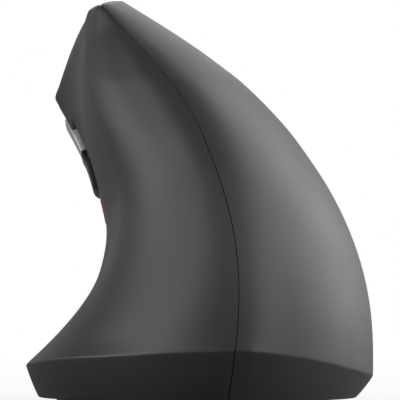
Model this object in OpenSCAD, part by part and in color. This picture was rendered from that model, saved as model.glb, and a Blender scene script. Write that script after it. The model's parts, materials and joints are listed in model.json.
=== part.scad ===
// Vertical ergonomic mouse for the right hand, cordless, standing on its glide feet.
// The front with the scroll wheel faces +Y, the wrist end faces -Y, the thumb side is at -X.
// All sizes are in millimetres and the origin is on the table under the middle of the mouse.

/* [Body] */
// Length from the wrist end to the nose
body_len = 120; // [114:0.5:130]
// Width across the base flange and the palm side
body_w = 67.4; // [65:0.2:72]
// Height from the table to the top of the ridge
body_h = 77.5; // [75:0.5:84]
// Wall thickness of the moulded shells
wall = 2; // [1.6:0.1:2.4]
// Width of the seam between the two shells
seam_gap = 0.25; // [0.15:0.05:0.4]
// Height of the underside above the table
ride_h = 0.6; // [0.4:0.1:0.9]

/* [Main keys] */
// Clearance along the sides and the rear of each key
key_gap = 0.4; // [0.35:0.05:0.6]
// Clearance at the nose and the ridge, where a key swings sideways
swing_gap = 1; // [0.9:0.05:1.2]
// Thickness of the key caps
key_wall = 1.9; // [1.5:0.1:2.4]

/* [Scroll wheel] */
// Diameter over the rubber tyre
wheel_d = 24; // [22:0.5:25]
// Width of the tyre
wheel_w = 6.4; // [5.5:0.1:6.8]
// How far the tyre stands out of the bezel
wheel_out = 3.2; // [2.4:0.1:3.8]
// Diameter of the wheel axle
axle_d = 2.4; // [2:0.1:3]
// Radial clearance of the axle in its fork
axle_fit = 0.06; // [0.04:0.01:0.1]
// Number of grip ribs round the tyre
tyre_ribs = 24; // [16:1:30]
// Inward travel of the wheel when it is clicked
click_travel = 0.5; // [0.3:0.05:0.6]

/* [Thumb side] */
// How far the thumb buttons stand proud of the scoop
thumb_proud = 0.5; // [0.4:0.1:1.2]
// Clearance round each thumb button
thumb_gap = 0.35; // [0.3:0.05:0.5]
// Travel of the thumb buttons and the pointer speed button
button_travel = 0.5; // [0.3:0.05:0.6]

/* [Boards and battery] */
// Thickness of the circuit boards
board_t = 1.6; // [1.2:0.1:2]
// Diameter of the battery cell
cell_d = 14.5; // [14:0.1:14.9]
// Length of the battery cell with its button
cell_len = 50.5; // [49:0.1:51]
// Travel of the power switch
power_travel = 2.5; // [2:0.1:3.5]

/* [Base] */
// Thickness of the base plate
plate_t = 2; // [1.6:0.1:2.4]
// How far the rims of the panels lean back towards the inside
rim_draft = 0.3; // [0:0.05:0.5]
// Clearance between the base plate and the shells round it
plate_fit = 0.3; // [0.2:0.05:0.4]
// Thickness of the glide feet
foot_t = 1; // [0.9:0.05:1.3]
// Width of the glide feet
foot_w = 4.5; // [3.5:0.5:5]
// Diameter of the case screw shanks
screw_d = 2.2; // [1.8:0.1:2.6]

/* [Hidden] */

// The outer skin.
// Five guide lines run up the body: the rear seam, the crease behind the thumb scoop, the left
// edge, the nose and the right edge. Each line below is one level of the skin from the bottom to
// the top, drawn for a body of the drawn sizes.
drawn = [67.4, 120, 77.5];
stretch = [body_w / drawn[0], body_len / drawn[1], body_h / drawn[2]];
// seam x, seam y, crease x, crease y, crease heading, left x, left y, nose x, nose y, right x, right y
levels = [
    [6.7, -60, -24, -38, 38, -33.7, 6, 0, 60, 33.6, -6],
    [7.4, -58.6, -20.3, -34.5, 24, -26.6, 10, -1.2, 60, 33.5, -7],
    [7.3, -56, -17, -31, 13, -21.2, 14, -3, 59.7, 32.2, -8],
    [6.2, -52.3, -15.2, -27.5, 7, -19, 16, -5.3, 59.2, 29.4, -8.5],
    [3.9, -47.5, -15.6, -24, 4, -18, 18, -8.2, 58.4, 25, -9],
    [0.8, -41.5, -18.6, -20, 4, -19.5, 19, -11.5, 57.3, 18.9, -9],
    [-3.5, -34, -21.6, -15, 5, -21.2, 20, -15.3, 55.8, 10.8, -8],
    [-10.5, -24.5, -22.4, -9, 6, -24.2, 23, -19.4, 53.9, -0.4, -5],
    [-18.2, -11, -21.4, -2, 8, -28, 28, -23.5, 51.5, -14.8, 2]
];
// Lowest and highest point of the seam, crease, left edge, nose and right edge
rise = [[9.6, 75.5], [8.2, 75.2], [6.8, 59], [8, 56], [4.8, 77.3]];
// Outline of the underside at the same five guide lines
sole = [[5.4, -56.3], [-21.5, -36], [-31.2, 6], [0, 57], [30.2, -6]];

// Bezier handle lengths: rear panels, nose, and the palm side
panel_pull = 0.45;
palm_pull = [0.55, 0.45];
nose_pull = 0.55;
face_pull = 0.6;
// How steeply the brow and the lines under it fall at the left edge
brow_fall = 0.5;
// How far the ridge face leans in over the brow: the share of its width at its middle
brow_lean = 0.5;
// How far below the ridge that face starts to turn over: the share of its height
brow_round = 0.08;
// Ridge height along the body, from the top of the seam to the nose
ridge_line = [[-11, 75.5], [0, 76.8], [15, 76], [30, 71.6], [45.5, 61.8], [51.5, 56]];
last = len(levels) - 1;

function smooth(c, i) =
    i < 0 ? 2 * smooth(c, 0) - smooth(c, 1)
    : i > last ? 2 * smooth(c, last) - smooth(c, last - 1)
    : i == 0 || i == last ? levels[i][c]
    : levels[i][c] - (levels[i - 1][c] - 2 * levels[i][c] + levels[i + 1][c]) / 6;

function guide(c, w) =
    let (t = w * last, i = min(floor(t), last - 1), f = t - i)
    ((1 - f) ^ 3 * smooth(c, i - 1) + (3 * f ^ 3 - 6 * f ^ 2 + 4) * smooth(c, i)
    + (3 * f ^ 2 - 3 * f ^ 3 + 3 * f + 1) * smooth(c, i + 1) + f ^ 3 * smooth(c, i + 2)) / 6;

function height(k, w) = rise[k][0] + (rise[k][1] - rise[k][0]) * w;

// The closed outline through five guide points, as five curves
function outline(s, c, turn, l, f, r) =
    let (
        aim = [-sin(turn), cos(turn), 0],
        sc = c.y - s.y,
        cl = l.y - c.y,
        lf = f.y - l.y,
        drop = c.z - l.z
    )
    [
        [s, [s.x - panel_pull * (s.x - c.x), s.y, s.z], [c.x, c.y, c.z] - panel_pull * sc * aim, c],
        [c, c + cl / 3 * aim - [0, 0, 0.4 * drop], [l.x, l.y - cl / 3, l.z + brow_fall / 3 * drop], l],
        [l, [l.x, l.y + nose_pull * lf, l.z - brow_fall * drop * nose_pull * lf / cl],
            [f.x - nose_pull * (f.x - l.x), f.y, f.z], f],
        [f, [f.x + face_pull * (r.x - f.x), f.y, f.z + 0.15 * (r.z - f.z)],
            [r.x, r.y + face_pull * (f.y - r.y), r.z], r],
        [r, [r.x, r.y - palm_pull[0] * (r.y - s.y), r.z],
            [s.x + palm_pull[1] * (r.x - s.x), s.y, s.z], s]
    ];

function ring(w) = let (v = min(max(w, 0), 1)) outline(
    [guide(0, v), guide(1, v), height(0, v)], [guide(2, v), guide(3, v), height(1, v)], guide(4, v),
    [guide(5, v), guide(6, v), height(2, v)], [guide(7, v), guide(8, v), height(3, v)],
    [guide(9, v), guide(10, v), height(4, v)]);

function sole_point(k) = [sole[k].x, sole[k].y, ride_h / stretch.z];
sole_ring = outline(sole_point(0), sole_point(1), levels[0][4], sole_point(2), sole_point(3), sole_point(4));

function bezier(p, t) =
    (1 - t) ^ 3 * p[0] + 3 * (1 - t) ^ 2 * t * p[1] + 3 * (1 - t) * t ^ 2 * p[2] + t ^ 3 * p[3];
function on_ring(r, u) = let (k = min(floor(u), 4)) bezier(r[k], u - k);

function ridge_x(y) = let (q = (y + 11) / 62.5) -18.2 - 4.5 * q - 0.8 * q ^ 2;
function ridge(y) = [ridge_x(y), y, lookup(y, ridge_line)];

function crown(p, u, t) =
    let (m = ridge(p.y), q = u < 3 ? [p.x + brow_lean * (m.x - p.x), p.y, m.z - brow_round * (m.z - p.z)]
        : [(p.x + m.x) / 2, p.y, max(p.z, m.z) + 0.3])
    (1 - t) ^ 2 * p + 2 * (1 - t) * t * q + t ^ 2 * m;
function skirt(p, q, t) = p + t * (q - p) + 0.24 * t * (1 - t) * [p.x - q.x, p.y - q.y, 0];

function scaled(p) = [p.x * stretch.x, p.y * stretch.y, p.z * stretch.z];
function skin_on(r, u, w) =
    let (p = on_ring(r, u))
    scaled(w < 0 ? skirt(p, on_ring(sole_ring, u), -w) : w > 1 ? crown(p, u, w - 1) : p);
function skin(u, w) = skin_on(ring(w), u, w);
step = 0.01;
// The rows over the brow meet at both ends of the ridge, this far apart
tip_spread = 0.2;
// Walls thin out towards both ends of the ridge: share of the thickness there, and how far it reaches
tip_thin = [0.3, 20];
function unit(v) = v / norm(v);
function wrap(u) = u < 0 ? u + 5 : u > 5 ? u - 5 : u;
function along_u(u, w) = unit(skin(wrap(u + step), w) - skin(wrap(u - step), w));
function along_w(u, w) = unit(skin(u, min(w + step, 2)) - skin(u, max(w - step, -1)));
function facing(u, w) = unit(cross(along_w(u, w), along_u(u, w)));

// Where the panels divide, along the outline (0 rear seam, 1 crease, 2 left edge, 3 nose,
// 4 right edge, 5 rear seam again) and up the skin (-1 sole, 0 flange crease, 1 brow, 2 ridge)
key_span = [3, 3.86];
middle_rows = [0.36, 0.665];
index_rows = [0.8, 2];
thumb_span = [1.95, 2.38];
forward_rows = [0.79, 0.88];
back_rows = [0.65, 0.765];
light_rows = [0.53, 0.615];
wheel_at = [3.62, 0.7325];
bezel_back = 3.935;

function stops(a, b, n) = [for (i = [0:n - 1]) a + (b - a) * i / n];
wall_rows = concat([-1, -0.5], stops(0, middle_rows[0], 8), stops(middle_rows[0], light_rows[0], 4),
    [light_rows[0], light_rows[1], back_rows[0], middle_rows[1], 0.72, back_rows[1], forward_rows[0],
    index_rows[0], forward_rows[1], 0.94, 0.99, 1, 1.03, 1.25, 1.5, 1.75, 2]);
thumb_cols = concat(stops(0, 1, 9), stops(1, thumb_span[0], 9), stops(thumb_span[0], thumb_span[1], 6),
    stops(thumb_span[1], 3, 8), [3]);
palm_cols = concat(stops(3, key_span[1], 16), [key_span[1], bezel_back], stops(4, 5, 11), [5]);

// A span from a to b that lies between low and high
function within(a, b, low, high) = a > low - 0.001 && b < high + 0.001;

// A panel of the skin as a closed moulding: the outer face lies "proud" of the skin, the inner
// face "depth" under it, and each border can stand back from the next panel by its own gap.
// Holes are [u0, u1, w0, w1] and follow the rows and columns of the panel.
module panel(us, ws, depth, proud = 0, gaps = [0, 0, 0, 0], holes = []) {
    nu = len(us) - 1;
    nw = len(ws) - 1;
    outer = [for (w = ws) let (r = ring(w), lo = ring(max(w - step, -1)), hi = ring(min(w + step, 2)))
        for (u = us) panel_point(r, lo, hi, u, w, us, ws, gaps)];
    face = [for (w = ws) let (lo = ring(max(w - step, -1)), hi = ring(min(w + step, 2)))
        for (u = us) normal_on(ring(w), lo, hi, u, w)];
    top = [for (k = [0:len(outer) - 1]) outer[k] + proud * face[k]];
    inner = [for (w = ws) let (r = ring(w), lo = ring(max(w - step, -1)), hi = ring(min(w + step, 2)))
        for (u = us) panel_point(r, lo, hi, u, w, us, ws, [for (g = gaps) g == 0 ? 0 : g + rim_draft])];
    tips = [skin(0, 1), skin(3, 1)];
    under = [for (k = [0:len(outer) - 1])
        let (reach = min([for (t = tips) norm(inner[k] - t)]))
        inner[k] - depth * min(1, tip_thin[0] + reach / tip_thin[1]) * face[k]];
    size = (nu + 1) * (nw + 1);
    function open_at(h, i, j) = within(us[i], us[i + 1], h[0], h[1]) && within(ws[j], ws[j + 1], h[2], h[3]);
    function solid(i, j) = i >= 0 && j >= 0 && i < nu && j < nw
        && len([for (h = holes) if (open_at(h, i, j)) 1]) == 0;
    function quad(a, b, c, d) = [[a, b, c], [a, c, d]];
    polyhedron(concat(top, under), [
        for (j = [0:nw - 1]) for (i = [0:nu - 1]) if (solid(i, j))
            let (a = j * (nu + 1) + i, b = a + 1, c = b + nu + 1, d = a + nu + 1, s = size)
            each concat(quad(a, b, c, d), quad(a + s, d + s, c + s, b + s),
                solid(i, j - 1) ? [] : quad(a, a + s, b + s, b),
                solid(i + 1, j) ? [] : quad(b, b + s, c + s, c),
                solid(i, j + 1) ? [] : quad(c, c + s, d + s, d),
                solid(i - 1, j) ? [] : quad(d, d + s, a + s, a))
    ]);
}

// On the ridge the outward direction is square to the ridge line
function ridge_normal(y) = let (d = scaled(ridge(y + 1)) - scaled(ridge(y - 1))) unit([0, -d.z, d.y]);
function along_row(r, u, w) = skin_on(r, wrap(u + step), w) - skin_on(r, wrap(u - step), w);
function across_rows(lo, hi, u, w) = skin_on(hi, u, min(w + step, 2)) - skin_on(lo, u, max(w - step, -1));
function at_seam(u) = u == 0 || u == 3 || u == 5;
function normal_on(r, lo, hi, u, w) =
    w > 1 && at_seam(u) || w == 2
    ? ridge_normal(skin_on(r, u, w).y / stretch.y)
    : unit(cross(across_rows(lo, hi, u, w), along_row(r, u, w)));

function panel_point(r, lo, hi, u, w, us, ws, gaps) =
    let (
        du = u == us[0] ? gaps[0] : u == us[len(us) - 1] ? -gaps[1] : 0,
        dw = w == ws[0] ? gaps[2] : w == ws[len(ws) - 1] ? -gaps[3] : 0,
        v = min(w, 1),
        tu = du == 0 ? [0, 0, 0] : unit_or_zero(along_row(r, u, v)),
        tw = dw == 0 ? [0, 0, 0] : unit_or_zero(across_rows(lo, hi, u, w)),
        apart = at_seam(u) ? tip_spread * (w - v) * (u == 3 ? -1 : 1) : 0
    )
    skin_on(r, u, w) + du * tu + dw * tw + [0, apart, 0];
function unit_or_zero(v) = norm(v) < 0.000001 ? [0, 0, 0] : unit(v);

shell_gaps = [seam_gap / 2, seam_gap / 2, 0, seam_gap / 2];
module thumb_shell() {
    windows = [for (rows = [forward_rows, back_rows, light_rows]) concat(thumb_span, rows)];
    color("#3a3b3c") panel(thumb_cols, wall_rows, wall, gaps = shell_gaps, holes = windows);
}
module palm_shell() {
    key_window = [key_span[0], key_span[1], middle_rows[0], 2];
    strip_window = [key_span[1], bezel_back, middle_rows[1], index_rows[0]];
    color("#333436") panel(palm_cols, wall_rows, wall, gaps = shell_gaps, holes = [key_window, strip_window]);
}

// Local frames that stand on the skin: X runs along the outline, Y up the skin, Z outward.
// "forward" is 1 where X has to point to the nose on the palm side, -1 on the thumb side.
function frame_at(u, w) = let (n = facing(u, w), a = -along_u(u, w)) [a, cross(n, a), n, skin(u, w)];
function in_frame(f, p) = [(p - f[3]) * f[0], (p - f[3]) * f[1], (p - f[3]) * f[2]];
function from_frame(f, q) = f[3] + q.x * f[0] + q.y * f[1] + q.z * f[2];
module stand_on(f) {
    multmatrix([
        [f[0].x, f[1].x, f[2].x, f[3].x],
        [f[0].y, f[1].y, f[2].y, f[3].y],
        [f[0].z, f[1].z, f[2].z, f[3].z],
        [0, 0, 0, 1]
    ]) children();
}
module block(low, high) {
    translate(low) cube(high - low);
}

// Scroll wheel and the board of the two main keys, measured from the skin over the wheel
wheel_frame = frame_at(wheel_at[0], wheel_at[1]);
wheel_deep = wheel_d / 2 - wheel_out;
hub_d = wheel_d - 5;
hub_holes = 5;
// Room that the tyre keeps in the parts round it
tyre_room = 1;
cheek = 1.5;
cheek_gap = 0.4;
fork_half = wheel_w / 2 + cheek_gap + cheek;
encoder_w = 3.2;
key_switch = [12.8, 5.8, 6.5];
plunger_d = 2;
plunger_fit = 0.06;
plunger_up = 0.8;
board_deep = 12.6;
window_front = wheel_d / 2 + 1;
window_back = wheel_d / 2 + 6;
window_side = fork_half + 0.5;
index_at = in_frame(wheel_frame, skin(3.63, 0.852));
middle_at = in_frame(wheel_frame, skin(3.63, 0.585));
switch_top = key_switch.z - board_deep;
boss_d = 3.2;
boss_gap = 0.15;

// A main key: a panel of the skin with the boss that presses its switch
module key_cap(rows, at, near) {
    cols = [for (u = palm_cols) if (u <= key_span[1] + 0.001) u];
    ws = [for (w = wall_rows) if (within(w, w, rows[0], rows[1])) w];
    boss_low = switch_top + plunger_up + boss_gap;
    union() {
        panel(cols, ws, key_wall, gaps = near);
        stand_on(wheel_frame) translate([at.x, at.y, boss_low])
            cylinder(d = boss_d, h = at.z - key_wall / 2 - boss_low, $fn = 24);
    }
}
module index_key() {
    color("#2e2f31") key_cap(index_rows, index_at, [swing_gap, key_gap, key_gap / 2, swing_gap]);
}
module middle_key() {
    color("#2e2f31") key_cap(middle_rows, middle_at, [swing_gap, key_gap, key_gap, key_gap / 2]);
}

// The fixed strip between the keys, with the slot of the wheel and the hole of the speed button
strip_rows = [middle_rows[1], 0.72, back_rows[1], index_rows[0]];
slot_cols = [3.46, 3.77];
rail = 0.012;
speed_cols = [3.865, 3.915];
module wheel_bezel() {
    us = concat(stops(3, slot_cols[0], 4), stops(slot_cols[0], slot_cols[1], 5),
        [slot_cols[1], 3.82], speed_cols, [bezel_back]);
    ws = [strip_rows[0], strip_rows[0] + rail * 2, strip_rows[3] - rail * 2, strip_rows[3]];
    color("#1f2022") panel(us, ws, key_wall, gaps = [swing_gap, key_gap, key_gap / 2, key_gap / 2],
        holes = [[slot_cols[0], slot_cols[1], ws[1], ws[2]], [speed_cols[0], speed_cols[1], ws[1], ws[2]]]);
}

// Key switches on the key board
module switch_case(at) {
    stand_on(wheel_frame) translate([at.x, at.y, -board_deep]) difference() {
        translate([-key_switch.x / 2, -key_switch.y / 2, 0]) cube(key_switch);
        translate([0, 0, key_switch.z - 2.6]) cylinder(d = plunger_d + 2 * plunger_fit, h = 3, $fn = 32);
    }
}
module plunger(at) {
    stand_on(wheel_frame) translate([at.x, at.y, switch_top - 1.8])
        cylinder(d = plunger_d, h = 1.8 + plunger_up, $fn = 32);
}
module index_switch() {
    color("#1c1c1e") switch_case(index_at);
}
module middle_switch() {
    color("#1c1c1e") switch_case(middle_at);
}
module index_plunger() {
    color("#d9dcd6") plunger(index_at);
}
module middle_plunger() {
    color("#d9dcd6") plunger(middle_at);
}

// Rubber tyre and the spoked hub it is stretched over
module wheel_tyre() {
    color("#26272a") stand_on(wheel_frame) translate([0, 0, -wheel_deep]) rotate([90, 0, 0]) difference() {
        rotate_extrude($fn = 96) polygon([
            [hub_d / 2, -wheel_w / 2], [wheel_d / 2 - 0.8, -wheel_w / 2], [wheel_d / 2, 0.8 - wheel_w / 2],
            [wheel_d / 2, wheel_w / 2 - 0.8], [wheel_d / 2 - 0.8, wheel_w / 2], [hub_d / 2, wheel_w / 2]
        ]);
        for (k = [1:tyre_ribs]) rotate(360 * k / tyre_ribs)
            translate([wheel_d / 2 - 0.5, -0.45, -wheel_w / 2 - 1]) cube([2, 0.9, wheel_w + 2]);
    }
}
module wheel_hub() {
    color("#4a4c50") stand_on(wheel_frame) translate([0, 0, -wheel_deep]) rotate([90, 0, 0]) difference() {
        union() {
            cylinder(d = hub_d, h = wheel_w - 0.4, center = true, $fn = 96);
            translate([0, 0, -fork_half - encoder_w + 0.6])
                cylinder(d = axle_d, h = 2 * fork_half + encoder_w - 0.6, $fn = 48);
        }
        for (k = [1:hub_holes]) rotate(360 * k / hub_holes) translate([hub_d / 3.4, 0, -wheel_w])
            cylinder(d = hub_d / 5, h = 2 * wheel_w, $fn = 32);
    }
}

// Fork that carries the wheel and sinks when the wheel is clicked
bridge_back = -window_back + 0.5;
bridge_front = -wheel_d / 2 - 1.2;
bridge_mid = (bridge_back + bridge_front) / 2;
spring_room = 4.6;
arm_low = spring_room - board_deep;
arm_top = 3 - wheel_deep;
pin_d = 2.4;
pin_y = fork_half + 2;
pin_block = 1.8;
// The arm that presses the click switch stands clear behind the switch of the middle key
click_switch = [4.2, 4.2, 1.4];
click_at = [middle_at.x - key_switch.x / 2 - click_switch.x / 2 - 1.2, -fork_half - click_switch.y / 2 - 0.5];
click_arm_t = 1.4;
module wheel_cradle() {
    color("#55585c") stand_on(wheel_frame) difference() {
        union() {
            for (s = [-1, 1]) {
                translate([0, s * (fork_half - cheek / 2), 0]) {
                    translate([0, 0, -wheel_deep]) rotate([90, 0, 0])
                        cylinder(r = axle_d / 2 + 2.2, h = cheek, center = true, $fn = 48);
                    block([bridge_front, -cheek / 2, arm_low], [0, cheek / 2, arm_top]);
                }
                mirror([0, s < 0 ? 1 : 0, 0])
                    block([bridge_back, fork_half, arm_low], [bridge_front, pin_y + pin_block, arm_top]);
                translate([bridge_mid, s * pin_y, -board_deep - board_t - 1.2])
                    cylinder(d = pin_d, h = spring_room + board_t + 2, $fn = 32);
            }
            block([bridge_back, -fork_half, arm_low], [bridge_front, fork_half, arm_top]);
            block([click_at.x - click_switch.x / 2, click_at.y - click_switch.y / 2, arm_low],
                [click_at.x + click_switch.x / 2, 0.2 - fork_half, arm_low + click_arm_t]);
        }
        translate([0, 0, -wheel_deep]) rotate([90, 0, 0])
            cylinder(d = axle_d + 2 * axle_fit, h = 4 * fork_half, center = true, $fn = 48);
    }
}
module wheel_encoder() {
    color("#2c4a38") stand_on(wheel_frame) difference() {
        block([-4.6, fork_half, -wheel_deep - 4.4], [4.6, fork_half + encoder_w, 4.2 - wheel_deep]);
        translate([0, fork_half - 1, -wheel_deep]) rotate([-90, 0, 0])
            cylinder(d = axle_d + 2 * axle_fit, h = encoder_w + 2, $fn = 48);
    }
}

// A wire wound in a helix: one unbroken tube of "sides" faces, "rings" cross sections a turn
module coil(r_low, r_high, wire, turns, length, rings = 10, sides = 6) {
    n = turns * rings;
    function radius(t, b) = r_low + (r_high - r_low) * t + wire / 2 * cos(b);
    function level(t, b) = wire / 2 + (length - wire) * t + wire / 2 * sin(b);
    points = [for (i = [0:n]) for (k = [0:sides - 1])
        let (a = 360 * i / rings, b = 360 * k / sides, r = radius(i / n, b))
        [r * cos(a), r * sin(a), level(i / n, b)]];
    polyhedron(points, concat(
        [[for (k = [sides - 1:-1:0]) k]],
        [[for (k = [0:sides - 1]) n * sides + k]],
        [for (i = [0:n - 1]) for (k = [0:sides - 1])
            let (a = i * sides + k, b = i * sides + (k + 1) % sides)
            each [[a, b + sides, a + sides], [a, b, b + sides]]]));
}
module wheel_spring() {
    color("#b9bcc0") stand_on(wheel_frame) translate([bridge_mid, 0, -board_deep])
        coil(1.5, 1.5, 0.4, 3, spring_room - click_travel - 0.1);
}
module wheel_switch() {
    stem = spring_room - click_switch.z - click_travel - 0.1;
    color("#1c1c1e") stand_on(wheel_frame) translate([click_at.x, click_at.y, -board_deep]) {
        translate([-click_switch.x / 2, -click_switch.y / 2, 0]) cube(click_switch);
        translate([0, 0, click_switch.z]) cylinder(d = 1.8, h = stem, $fn = 24);
    }
}

// Speed button in the bezel behind the wheel
speed_frame = frame_at((speed_cols[0] + speed_cols[1]) / 2, wheel_at[1]);
speed_at = in_frame(wheel_frame, speed_frame[3]);
speed_hole = norm(skin(speed_cols[1], wheel_at[1]) - skin(speed_cols[0], wheel_at[1]));
speed_half = [speed_hole / 2 - thumb_gap - 0.25, 2.7];
speed_up = 0.35;
speed_stem = -3.7;
flange = [0.8, 0.7];
module dpi_button() {
    color("#3c3e41") stand_on(speed_frame) {
        block([-speed_half.x, -speed_half.y, -key_wall], [speed_half.x, speed_half.y, speed_up]);
        translate([0, 0, speed_stem]) cylinder(d = 2.4, h = 0.1 - key_wall - speed_stem, $fn = 24);
        block([-speed_half.x - flange.x, -speed_half.y - flange.y, -key_wall - 1.4],
            [speed_half.x + flange.x, speed_half.y + flange.y, -key_wall - 1]);
    }
}
module dpi_switch() {
    top = speed_stem - button_travel - 0.1;
    case_half = 2.6;
    case_top = top - 1.1;
    color("#1c1c1e") difference() {
        stand_on(speed_frame) {
            block([-case_half, -case_half, case_top - 10], [case_half, case_half, case_top]);
            translate([0, 0, case_top - 0.1]) cylinder(d = 2, h = 1.2, $fn = 24);
        }
        below_board(-board_deep);
    }
}

// All that lies below, or above, a level of the key board
far = 90;
module below_board(level) {
    stand_on(wheel_frame) block([-far, -far, -far], [far, far, level]);
}
module above_board(level) {
    stand_on(wheel_frame) block([-far, -far, level], [far, far, far]);
}

// Board that carries the wheel and the switches of the two main keys
board_back = -27;
board_front = 19.5;
board_rim = 3.6;
board_neck = 7.2;
speed_pad = [4, 4.5];
board_low = -board_deep - board_t;
screw_row = middle_at.y - board_rim + 2.35;
frame_screws = [[board_back + 4.5, screw_row], [board_front - 3, screw_row],
    [board_back + 4.5, index_at.y + board_rim - 7.9]];
screw_play = 0.3;
module key_board() {
    color("#1f4d35") stand_on(wheel_frame) difference() {
        union() {
            block([board_back, middle_at.y - board_rim, board_low], [board_front, 4, -board_deep]);
            block([board_back, 0, board_low], [board_neck, index_at.y + board_rim, -board_deep]);
            block([speed_at.x - speed_pad.x, -speed_pad.y, board_low],
                [board_back + 7, speed_pad.y, -board_deep]);
        }
        block([bridge_front - 0.1, -window_side, board_low - 1], [window_front, window_side, 0]);
        block([-5.2, 0, board_low - 1], [5.2, fork_half + encoder_w + 0.4, 0]);
        for (s = [-1, 1]) translate([bridge_mid, s * pin_y, board_low - 1])
            cylinder(d = pin_d + 2 * axle_fit, h = board_t + 2, $fn = 32);
        for (p = frame_screws) translate([p.x, p.y, board_low - 1])
            cylinder(d = screw_d + screw_play, h = board_t + 2, $fn = 32);
    }
}
board_screw_grip = 4;
module board_screws() {
    color("#8d9094") stand_on(wheel_frame) for (p = frame_screws) translate([p.x, p.y, 0]) {
        translate([0, 0, -board_deep]) cylinder(d = 2 * screw_d - 0.2, h = 1.3, $fn = 32);
        translate([0, 0, board_low - board_screw_grip])
            cylinder(d = screw_d, h = board_t + board_screw_grip + 0.1, $fn = 32);
    }
}

// Thumb side: two buttons, a light strip and the board behind them
thumb_mid = (thumb_span[0] + thumb_span[1]) / 2;
thumb_frame = frame_at(thumb_mid, 0.775);
function middle_of(rows) = in_frame(thumb_frame, skin(thumb_mid, (rows[0] + rows[1]) / 2));
forward_at = middle_of(forward_rows);
back_at = middle_of(back_rows);
light_at = middle_of(light_rows);
thumb_board_deep = 8.2;
thumb_board_t = 1;
tact = [4.5, 4.5, 3];
stem_up = 0.9;
button_t = 1.4;
lens_t = 1.6;
lens_proud = 0.15;
lens_fit = 0.1;
function closed_stops(a, b, n) = concat(stops(a, b, n), [b]);
thumb_button_cols = closed_stops(thumb_span[0], thumb_span[1], 8);
module thumb_button(rows, at) {
    stem = tact.z - thumb_board_deep + stem_up + button_travel + 0.05;
    panel(thumb_button_cols, closed_stops(rows[0], rows[1], 3), button_t, thumb_proud,
        [thumb_gap, thumb_gap, thumb_gap, thumb_gap]);
    stand_on(thumb_frame) translate([at.x, at.y, stem])
        cylinder(d = 2.6, h = at.z - button_t + 0.5 - stem, $fn = 24);
}
module forward_button() {
    color("#b4b6b8") thumb_button(forward_rows, forward_at);
}
module back_button() {
    color("#4b4d50") thumb_button(back_rows, back_at);
}
module light_strip() {
    rows = closed_stops(light_rows[0], light_rows[1], 2);
    gaps = [lens_fit, lens_fit, lens_fit, lens_fit];
    color("#b01030") panel(thumb_button_cols, rows, lens_t, lens_proud, gaps);
}
module tact_switch(at) {
    color("#2a2a2c") stand_on(thumb_frame) translate([at.x, at.y, -thumb_board_deep]) {
        translate([-tact.x / 2, -tact.y / 2, 0]) cube(tact);
        cylinder(d = 2.2, h = tact.z + stem_up, $fn = 24);
    }
}
module forward_switch() {
    tact_switch(forward_at);
}
module back_switch() {
    tact_switch(back_at);
}
module status_led() {
    color("#e8d8d8") stand_on(thumb_frame) translate([light_at.x, light_at.y, -thumb_board_deep]) {
        block([-1.5, -1, 0], [1.5, 1, 1.2]);
        translate([0, 0, 1.2]) sphere(d = 1.6, $fn = 24);
    }
}
thumb_board_half = 9;
thumb_board_low = light_at.y - 2.5;
thumb_board_high = forward_at.y + 2.6;
thumb_board_back = -thumb_board_deep - thumb_board_t;
module thumb_board() {
    color("#1f4d35") difference() {
        stand_on(thumb_frame) block([-thumb_board_half, thumb_board_low, thumb_board_back],
            [thumb_board_half, thumb_board_high, -thumb_board_deep]);
        stand_on(wheel_frame) translate([0, 0, -wheel_deep]) rotate([90, 0, 0])
            cylinder(d = wheel_d + 2 * tyre_room, h = wheel_w + 2 * tyre_room, center = true, $fn = 96);
    }
}

// Underside outline, set in from the edge of the sole
function sole_at(u, inset) =
    let (
        p = scaled(on_ring(sole_ring, u)),
        t = unit(scaled(on_ring(sole_ring, wrap(u + step))) - scaled(on_ring(sole_ring, wrap(u - step))))
    )
    [p.x + inset * t.y, p.y - inset * t.x];
floor_z = ride_h + plate_t;
edge = wall + plate_fit;

// Battery bay
cell_x = 14.9 * stretch.x;
cell_front = 24.5 * stretch.y;
cell_gap = 0.3;
cell_z = floor_z + cell_gap + cell_d / 2;
cell_back = cell_front - cell_len;
spring_len = 4;
contact_t = 0.4;
contact_half = 4.5;
contact_play = 0.05;
bay_wall = 1.2;
bay_top = cell_z + 3;
bay_half = cell_d / 2 + cell_gap;
bay_front = cell_front + contact_t + 2 * contact_play;
bay_back = cell_back - spring_len - contact_t;
door_fit = 0.3;
door_t = 1.4;
door_half = bay_half + 0.4;
door_pin = bay_front - 0.4;
door_back = bay_back + 0.6;
door_z = ride_h + door_t / 2;
hinge_pin = [1, 1];
nail_notch = 9;

// Receiver bay
receiver = [14.6, 18.8, 6.2];
receiver_at = [-7.5, -36];
receiver_fit = 0.3;
receiver_top = ride_h + receiver.z + receiver_fit;
receiver_plug = [12, 4.5];

// Motion sensor
sensor_at = [-9, 19];
lens_d = 7;

// Power switch, behind the battery bay
power_case = [5.2, 9.2, 3.4];
knob = [1.9, 3];
slot_play = [0.45, 0.4];
power_at = [9.1 * stretch.x, bay_back - bay_wall - 3.3 - power_case.y / 2];

// Inner frame and the screws that hold it down
rib_y = [3.4, 41];
rib_t = 3;
foot_pad = 2;
foot_pad_d = 7;
screw_x = [-6, 2.6];
case_screw_at = [for (y = rib_y) for (x = screw_x) [x, y]];
head_d = 4.2;
head_h = 1.3;
head_deep = 0.4;

// Main board
board_z = 5;
main_low = [-24, 7];
main_high = [4.8, 37.5];
post_d = 4.4;
post_x = [main_low.x + 4.5, main_high.x - 3];
post_y = [main_low.y + 3, main_high.y - 3];
main_posts = [for (x = post_x) for (y = post_y) [x, y]];

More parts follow.
